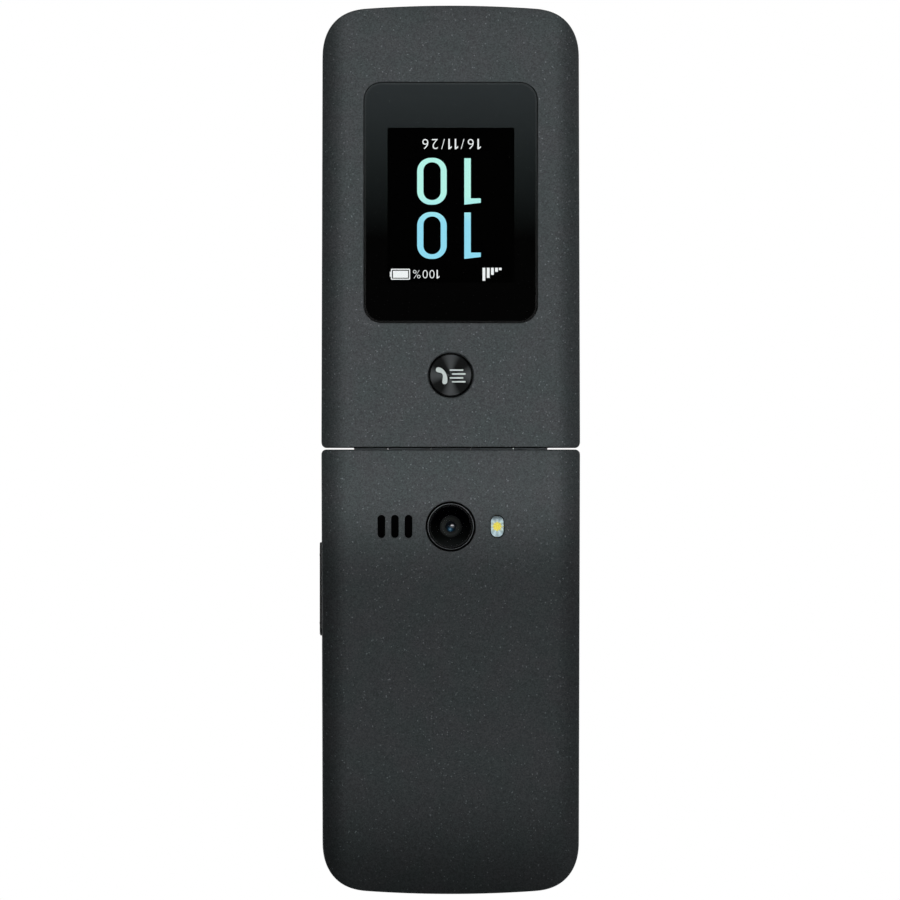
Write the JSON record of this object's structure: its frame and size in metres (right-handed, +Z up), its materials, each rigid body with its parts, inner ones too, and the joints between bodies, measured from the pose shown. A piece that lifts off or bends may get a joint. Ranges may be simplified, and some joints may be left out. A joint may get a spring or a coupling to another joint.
{
  "type": "flip phone",
  "caption": "Flip phone with a hinged lid that opens flat, outer window and round button on the lid, camera, flash and speaker slots on the base, keypad and main screen inside.",
  "frame": {"origin": "on the surface it lies on, below the hinge axis and midway between the sides, with the phone open flat on its outer faces", "axes": "+X across the phone along the hinge axis, towards the volume key; +Y towards the far end of the lid; +Z up out of the keypad and the main screen"},
  "size_m": [0.0576, 0.1967, 0.0137],
  "materials": {
    "shell_paint": "satin metallic paint with a fine flake",
    "inner_plastic": "fine matte",
    "frame_plastic": "moulded matte",
    "battery_wrap": "film wrap",
    "circuit_board": "solder mask",
    "bare_steel": "plain",
    "screw_steel": "plain",
    "rubber_pad": "matte",
    "speaker_body": "moulded matte",
    "steel_mesh": "woven, blackened",
    "trim_metal": "turned, anodised",
    "camera_glass": "polished",
    "camera_body": "moulded matte",
    "flash_lens": "prismatic inside",
    "flash_led": "phosphor",
    "flex_film": "polyimide film",
    "window_glass": "polished, printed black at the back",
    "display_panel": "polariser film",
    "button_metal": "spun, black anodised",
    "nav_finish": "satin",
    "key_plastic": "satin, printed figures"
  },
  "bodies": {
    "base": {"rear_cover": "shell_paint", "mid_frame": "frame_plastic", "keypad_housing": "inner_plastic", "battery": "battery_wrap", "main_board": "circuit_board", "board_parts": "bare_steel", "key_domes": "bare_steel", "keypad_mat": "rubber_pad", "loudspeaker": "speaker_body", "speaker_mesh": "steel_mesh", "camera_trim": "trim_metal", "camera_glass": "camera_glass", "camera_module": "camera_body", "flash_lens": "flash_lens", "flash_led": "flash_led", "usb_port": "bare_steel", "headset_jack": "speaker_body", "volume_switches": "bare_steel", "vibration_motor": "bare_steel", "base_screws": "screw_steel", "hinge_cartridge": "bare_steel", "hinge_bush": "bare_steel", "base_flex": "flex_film"},
    "lid": {"lid_shell": "shell_paint", "lid_bezel": "inner_plastic", "outer_window": "window_glass", "outer_display": "display_panel", "main_window": "window_glass", "main_display": "display_panel", "lid_board": "circuit_board", "lid_button_switch": "bare_steel", "earpiece": "speaker_body", "earpiece_mesh": "steel_mesh", "lid_magnet": "bare_steel", "lid_bumpers": "rubber_pad", "lid_screws": "screw_steel", "hinge_cam": "bare_steel", "lid_flex": "flex_film"},
    "volume_key": {"volume_key": "inner_plastic"},
    "lid_button": {"lid_button": "button_metal"},
    "nav_support": {"nav_support": "frame_plastic"},
    "nav_ring": {"nav_ring": "nav_finish"},
    "nav_ok": {"nav_ok": "key_plastic"},
    "soft_left": {"soft_left": "key_plastic"},
    "soft_right": {"soft_right": "key_plastic"},
    "call_key": {"call_key": "key_plastic"},
    "end_key": {"end_key": "key_plastic"},
    "clear_key": {"clear_key": "key_plastic"},
    "key_1": {"key_1": "key_plastic"},
    "key_2": {"key_2": "key_plastic"},
    "key_3": {"key_3": "key_plastic"},
    "key_4": {"key_4": "key_plastic"},
    "key_5": {"key_5": "key_plastic"},
    "key_6": {"key_6": "key_plastic"},
    "key_7": {"key_7": "key_plastic"},
    "key_8": {"key_8": "key_plastic"},
    "key_9": {"key_9": "key_plastic"},
    "key_star": {"key_star": "key_plastic"},
    "key_0": {"key_0": "key_plastic"},
    "key_hash": {"key_hash": "key_plastic"}
  },
  "joints": [
    {"name": "lid_hinge", "type": "hinge", "parent": "base", "child": "lid", "pos_m": [0, 0, 0.0095], "axis": [1, 0, 0], "range_deg": [0, 180]},
    {"name": "lid_button_press", "type": "slide", "parent": "lid", "child": "lid_button", "axis": [0, 0, 1], "range_m": [0, 0.0003], "stiffness_N_per_m": 600},
    {"name": "volume_rock", "type": "hinge", "parent": "base", "child": "volume_key", "pos_m": [0.02666, -0.0313, 0.00655], "axis": [0, 0, 1], "range_deg": [-1, 1], "stiffness_Nm_per_rad": 0.06},
    {"name": "nav_tilt_left_right", "type": "hinge", "parent": "base", "child": "nav_support", "pos_m": [0, -0.0242, 0.0087], "axis": [0, 1, 0], "range_deg": [-0.9, 0.9], "stiffness_Nm_per_rad": 0.05},
    {"name": "nav_tilt_up_down", "type": "hinge", "parent": "nav_support", "child": "nav_ring", "pos_m": [0, -0.0242, 0.0087], "axis": [1, 0, 0], "range_deg": [-0.9, 0.9], "stiffness_Nm_per_rad": 0.05},
    {"name": "nav_ok_press", "type": "slide", "parent": "base", "child": "nav_ok", "axis": [0, 0, -1], "range_m": [0, 0.00025], "stiffness_N_per_m": 600},
    {"name": "soft_left_press", "type": "slide", "parent": "base", "child": "soft_left", "axis": [0, 0, -1], "range_m": [0, 0.00025], "stiffness_N_per_m": 600},
    {"name": "soft_right_press", "type": "slide", "parent": "base", "child": "soft_right", "axis": [0, 0, -1], "range_m": [0, 0.00025], "stiffness_N_per_m": 600},
    {"name": "call_key_press", "type": "slide", "parent": "base", "child": "call_key", "axis": [0, 0, -1], "range_m": [0, 0.00025], "stiffness_N_per_m": 600},
    {"name": "end_key_press", "type": "slide", "parent": "base", "child": "end_key", "axis": [0, 0, -1], "range_m": [0, 0.00025], "stiffness_N_per_m": 600},
    {"name": "clear_key_press", "type": "slide", "parent": "base", "child": "clear_key", "axis": [0, 0, -1], "range_m": [0, 0.00025], "stiffness_N_per_m": 600},
    {"name": "key_1_press", "type": "slide", "parent": "base", "child": "key_1", "axis": [0, 0, -1], "range_m": [0, 0.00025], "stiffness_N_per_m": 600},
    {"name": "key_2_press", "type": "slide", "parent": "base", "child": "key_2", "axis": [0, 0, -1], "range_m": [0, 0.00025], "stiffness_N_per_m": 600},
    {"name": "key_3_press", "type": "slide", "parent": "base", "child": "key_3", "axis": [0, 0, -1], "range_m": [0, 0.00025], "stiffness_N_per_m": 600},
    {"name": "key_4_press", "type": "slide", "parent": "base", "child": "key_4", "axis": [0, 0, -1], "range_m": [0, 0.00025], "stiffness_N_per_m": 600},
    {"name": "key_5_press", "type": "slide", "parent": "base", "child": "key_5", "axis": [0, 0, -1], "range_m": [0, 0.00025], "stiffness_N_per_m": 600},
    {"name": "key_6_press", "type": "slide", "parent": "base", "child": "key_6", "axis": [0, 0, -1], "range_m": [0, 0.00025], "stiffness_N_per_m": 600},
    {"name": "key_7_press", "type": "slide", "parent": "base", "child": "key_7", "axis": [0, 0, -1], "range_m": [0, 0.00025], "stiffness_N_per_m": 600},
    {"name": "key_8_press", "type": "slide", "parent": "base", "child": "key_8", "axis": [0, 0, -1], "range_m": [0, 0.00025], "stiffness_N_per_m": 600},
    {"name": "key_9_press", "type": "slide", "parent": "base", "child": "key_9", "axis": [0, 0, -1], "range_m": [0, 0.00025], "stiffness_N_per_m": 600},
    {"name": "key_star_press", "type": "slide", "parent": "base", "child": "key_star", "axis": [0, 0, -1], "range_m": [0, 0.00025], "stiffness_N_per_m": 600},
    {"name": "key_0_press", "type": "slide", "parent": "base", "child": "key_0", "axis": [0, 0, -1], "range_m": [0, 0.00025], "stiffness_N_per_m": 600},
    {"name": "key_hash_press", "type": "slide", "parent": "base", "child": "key_hash", "axis": [0, 0, -1], "range_m": [0, 0.00025], "stiffness_N_per_m": 600}
  ]
}
